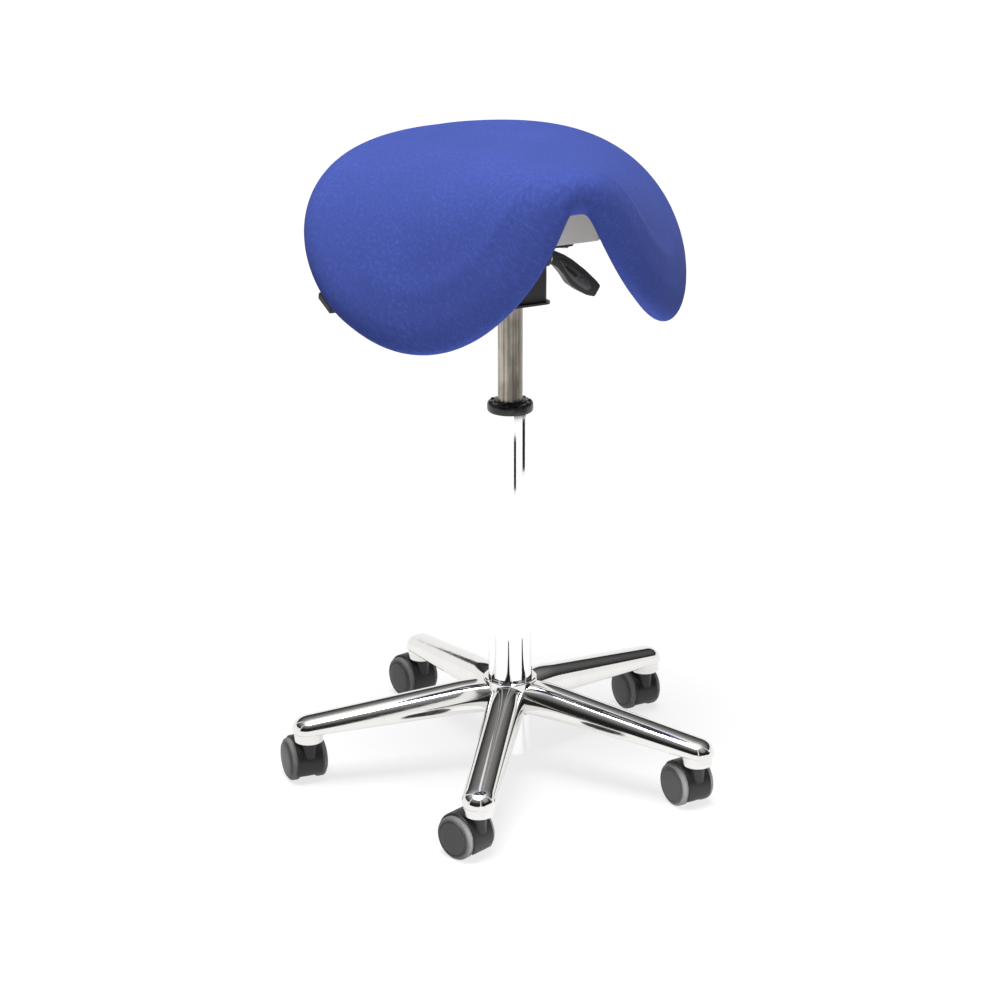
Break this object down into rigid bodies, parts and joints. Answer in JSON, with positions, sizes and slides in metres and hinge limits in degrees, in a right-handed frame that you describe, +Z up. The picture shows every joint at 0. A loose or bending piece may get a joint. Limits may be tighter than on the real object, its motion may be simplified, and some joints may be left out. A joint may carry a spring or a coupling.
{
  "type": "saddle stool",
  "caption": "Height-adjustable saddle stool with a blue wool saddle seat, tilt lock, chrome column and a polished star base on twin-wheel castors.",
  "frame": {"origin": "on the floor, on the axis of the column", "axes": "+Z up along the column, -Y towards the front of the seat, +X the side of the short height lever"},
  "size_m": [0.4924, 0.4945, 0.7398],
  "materials": {
    "polished_aluminium": "mirror polished",
    "chrome_column": "mirror plated",
    "black_plastic": "fine grained black",
    "lift_steel": "ground steel tube",
    "zinc_steel": "bright zinc plated",
    "black_steel": "black powder coat",
    "rubber_black": "soft black",
    "castor_hood": "satin black",
    "castor_cap": "dark grey",
    "castor_tyre": "soft grey tread",
    "pan_plastic": "light grey moulded",
    "shell_plastic": "dark moulded shell",
    "foam": "moulded foam",
    "wool_blue": "woven wool, blue"
  },
  "bodies": {
    "base": {"base_casting": "polished_aluminium", "column_tube": "chrome_column", "guide_bush": "black_plastic", "thrust_bearing": "zinc_steel", "castor_1_stem": "zinc_steel", "castor_2_stem": "zinc_steel", "castor_3_stem": "zinc_steel", "castor_4_stem": "zinc_steel", "castor_5_stem": "zinc_steel"},
    "lift_rod": {"piston_rod": "zinc_steel", "retaining_clip": "zinc_steel", "bump_stop": "rubber_black", "piston": "zinc_steel"},
    "lift": {"gas_cylinder": "lift_steel", "rod_gland": "black_plastic", "mechanism_housing": "black_steel", "housing_floor_plate": "black_steel", "lever_pivot": "zinc_steel", "tilt_axle": "zinc_steel"},
    "release_pin": {"release_pin": "zinc_steel"},
    "height_lever": {"height_lever": "black_plastic"},
    "tilt_lever": {"clamp_rod": "zinc_steel", "tilt_lever": "black_plastic"},
    "seat": {"top_plate": "black_steel", "plate_screws": "zinc_steel", "threaded_inserts": "zinc_steel", "seat_pan": "pan_plastic", "seat_shell": "shell_plastic", "seat_foam": "foam", "seat_cover": "wool_blue"},
    "castor_1": {"castor_1_hood": "castor_hood", "castor_1_axle": "zinc_steel"},
    "castor_1_wheel_a": {"castor_1_wheel_a": "castor_cap", "castor_1_tyre_a": "castor_tyre"},
    "castor_1_wheel_b": {"castor_1_wheel_b": "castor_cap", "castor_1_tyre_b": "castor_tyre"},
    "castor_2": {"castor_2_hood": "castor_hood", "castor_2_axle": "zinc_steel"},
    "castor_2_wheel_a": {"castor_2_wheel_a": "castor_cap", "castor_2_tyre_a": "castor_tyre"},
    "castor_2_wheel_b": {"castor_2_wheel_b": "castor_cap", "castor_2_tyre_b": "castor_tyre"},
    "castor_3": {"castor_3_hood": "castor_hood", "castor_3_axle": "zinc_steel"},
    "castor_3_wheel_a": {"castor_3_wheel_a": "castor_cap", "castor_3_tyre_a": "castor_tyre"},
    "castor_3_wheel_b": {"castor_3_wheel_b": "castor_cap", "castor_3_tyre_b": "castor_tyre"},
    "castor_4": {"castor_4_hood": "castor_hood", "castor_4_axle": "zinc_steel"},
    "castor_4_wheel_a": {"castor_4_wheel_a": "castor_cap", "castor_4_tyre_a": "castor_tyre"},
    "castor_4_wheel_b": {"castor_4_wheel_b": "castor_cap", "castor_4_tyre_b": "castor_tyre"},
    "castor_5": {"castor_5_hood": "castor_hood", "castor_5_axle": "zinc_steel"},
    "castor_5_wheel_a": {"castor_5_wheel_a": "castor_cap", "castor_5_tyre_a": "castor_tyre"},
    "castor_5_wheel_b": {"castor_5_wheel_b": "castor_cap", "castor_5_tyre_b": "castor_tyre"}
  },
  "joints": [
    {"name": "seat_swivel", "type": "hinge", "parent": "base", "child": "lift_rod", "pos_m": [0, 0, 0.035], "axis": [0, 0, 1], "continuous": true},
    {"name": "seat_height", "type": "slide", "parent": "lift_rod", "child": "lift", "axis": [0, 0, 1], "range_m": [-0.105, 0.085]},
    {"name": "seat_tilt", "type": "hinge", "parent": "lift", "child": "seat", "pos_m": [0, -0.026, 0.62], "axis": [1, 0, 0], "range_deg": [-4, 10]},
    {"name": "height_lever_press", "type": "hinge", "parent": "lift", "child": "height_lever", "pos_m": [0.022, 0, 0.6205], "axis": [0, -1, 0], "range_deg": [0, 6], "stiffness_Nm_per_rad": 1.2, "springref_deg": -2.86},
    {"name": "pin_press", "type": "slide", "parent": "lift", "child": "release_pin", "axis": [0, 0, -1], "range_m": [0, 0.0028]},
    {"name": "tilt_lever_turn", "type": "hinge", "parent": "lift", "child": "tilt_lever", "pos_m": [-0.028, 0.042, 0.602], "axis": [1, 0, 0], "range_deg": [-25, 0]},
    {"name": "castor_1_swivel", "type": "hinge", "parent": "base", "child": "castor_1", "pos_m": [0.13872, -0.19093, 0.052], "axis": [0, 0, 1], "continuous": true},
    {"name": "castor_1_roll_a", "type": "hinge", "parent": "castor_1", "child": "castor_1_wheel_a", "pos_m": [0.13739, -0.17197, 0.025], "axis": [-0.9976, -0.0698, 0], "continuous": true},
    {"name": "castor_1_roll_b", "type": "hinge", "parent": "castor_1", "child": "castor_1_wheel_b", "pos_m": [0.13739, -0.17197, 0.025], "axis": [-0.9976, -0.0698, 0], "continuous": true},
    {"name": "castor_2_swivel", "type": "hinge", "parent": "base", "child": "castor_2", "pos_m": [0.22445, 0.07293, 0.052], "axis": [0, 0, 1], "continuous": true},
    {"name": "castor_2_roll_a", "type": "hinge", "parent": "castor_2", "child": "castor_2_wheel_a", "pos_m": [0.22345, 0.0919, 0.025], "axis": [-0.9986, -0.0523, 0], "continuous": true},
    {"name": "castor_2_roll_b", "type": "hinge", "parent": "castor_2", "child": "castor_2_wheel_b", "pos_m": [0.22345, 0.0919, 0.025], "axis": [-0.9986, -0.0523, 0], "continuous": true},
    {"name": "castor_3_swivel", "type": "hinge", "parent": "base", "child": "castor_3", "pos_m": [0, 0.236, 0.052], "axis": [0, 0, 1], "continuous": true},
    {"name": "castor_3_roll_a", "type": "hinge", "parent": "castor_3", "child": "castor_3_wheel_a", "pos_m": [-0.0033, 0.25471, 0.025], "axis": [-0.9848, -0.1736, 0], "continuous": true},
    {"name": "castor_3_roll_b", "type": "hinge", "parent": "castor_3", "child": "castor_3_wheel_b", "pos_m": [-0.0033, 0.25471, 0.025], "axis": [-0.9848, -0.1736, 0], "continuous": true},
    {"name": "castor_4_swivel", "type": "hinge", "parent": "base", "child": "castor_4", "pos_m": [-0.22445, 0.07293, 0.052], "axis": [0, 0, 1], "continuous": true},
    {"name": "castor_4_roll_a", "type": "hinge", "parent": "castor_4", "child": "castor_4_wheel_a", "pos_m": [-0.22279, 0.09186, 0.025], "axis": [-0.9962, 0.0872, 0], "continuous": true},
    {"name": "castor_4_roll_b", "type": "hinge", "parent": "castor_4", "child": "castor_4_wheel_b", "pos_m": [-0.22279, 0.09186, 0.025], "axis": [-0.9962, 0.0872, 0], "continuous": true},
    {"name": "castor_5_swivel", "type": "hinge", "parent": "base", "child": "castor_5", "pos_m": [-0.13872, -0.19093, 0.052], "axis": [0, 0, 1], "continuous": true},
    {"name": "castor_5_roll_a", "type": "hinge", "parent": "castor_5", "child": "castor_5_wheel_a", "pos_m": [-0.14522, -0.17307, 0.025], "axis": [-0.9397, -0.342, 0], "continuous": true},
    {"name": "castor_5_roll_b", "type": "hinge", "parent": "castor_5", "child": "castor_5_wheel_b", "pos_m": [-0.14522, -0.17307, 0.025], "axis": [-0.9397, -0.342, 0], "continuous": true}
  ],
  "couplings": [
    {"joint": "pin_press", "follows": "height_lever_press", "m_per_rad": 0.0245}
  ]
}
